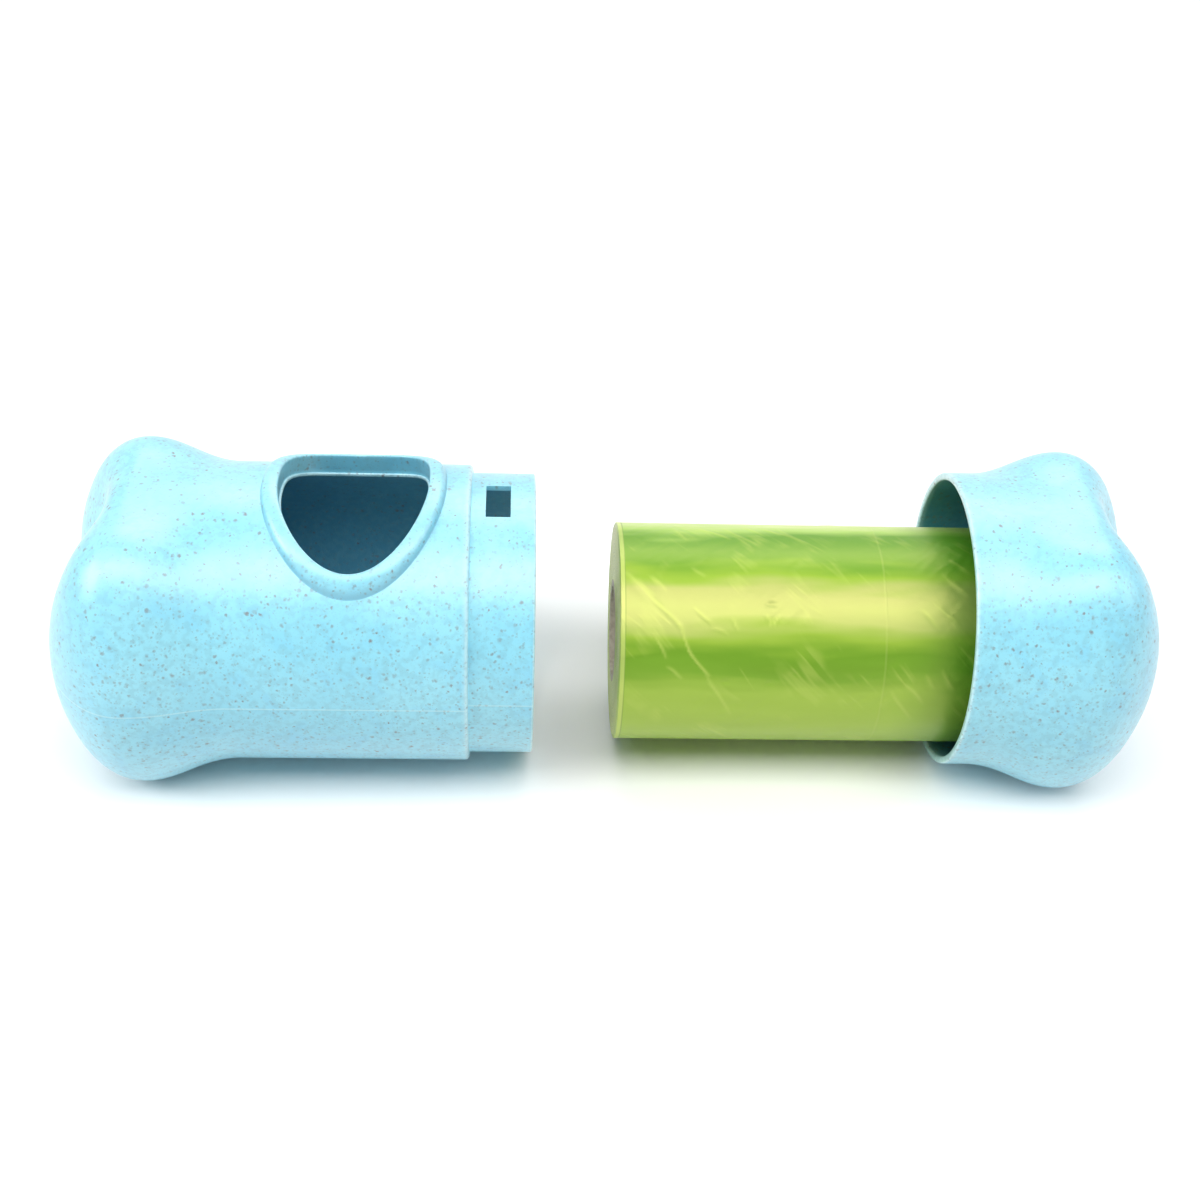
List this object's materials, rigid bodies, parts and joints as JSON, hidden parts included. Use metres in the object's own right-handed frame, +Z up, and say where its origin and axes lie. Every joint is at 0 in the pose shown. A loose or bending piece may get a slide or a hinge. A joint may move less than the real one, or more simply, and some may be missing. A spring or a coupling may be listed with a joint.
{
  "type": "dog poop bag dispenser",
  "caption": "Bone-shaped bag dispenser lying open: a barrel with a heart-shaped slot and a snap spigot, and the pulled-off cap with the roll of bags in it.",
  "frame": {"origin": "on the floor under the middle of the open set, as it lies in the picture", "axes": "+X along the axis from the barrel's closed end to the cap's closed end, +Z up, the point of the heart-shaped slot towards -Y"},
  "size_m": [0.1394, 0.0422, 0.0396],
  "materials": {
    "blue_plastic": "pale blue moulded plastic with a soft sheen and fine brown straw specks",
    "green_film": "satin metallic-looking green film, wound, with fine wrinkles",
    "core_paper": "matt grey-brown wound paper"
  },
  "bodies": {
    "barrel": {"body_shell": "blue_plastic"},
    "cap": {"end_cap": "blue_plastic"},
    "roll": {"bag_roll": "green_film", "roll_core": "core_paper"}
  },
  "joints": [
    {"name": "cap_off", "type": "slide", "parent": "barrel", "child": "cap", "axis": [1, 0, 0], "range_m": [-0.062, 0]},
    {"name": "roll_spin", "type": "hinge", "parent": "cap", "child": "roll", "pos_m": [0.03075, 0, 0.0165], "axis": [1, 0, 0], "continuous": true}
  ]
}
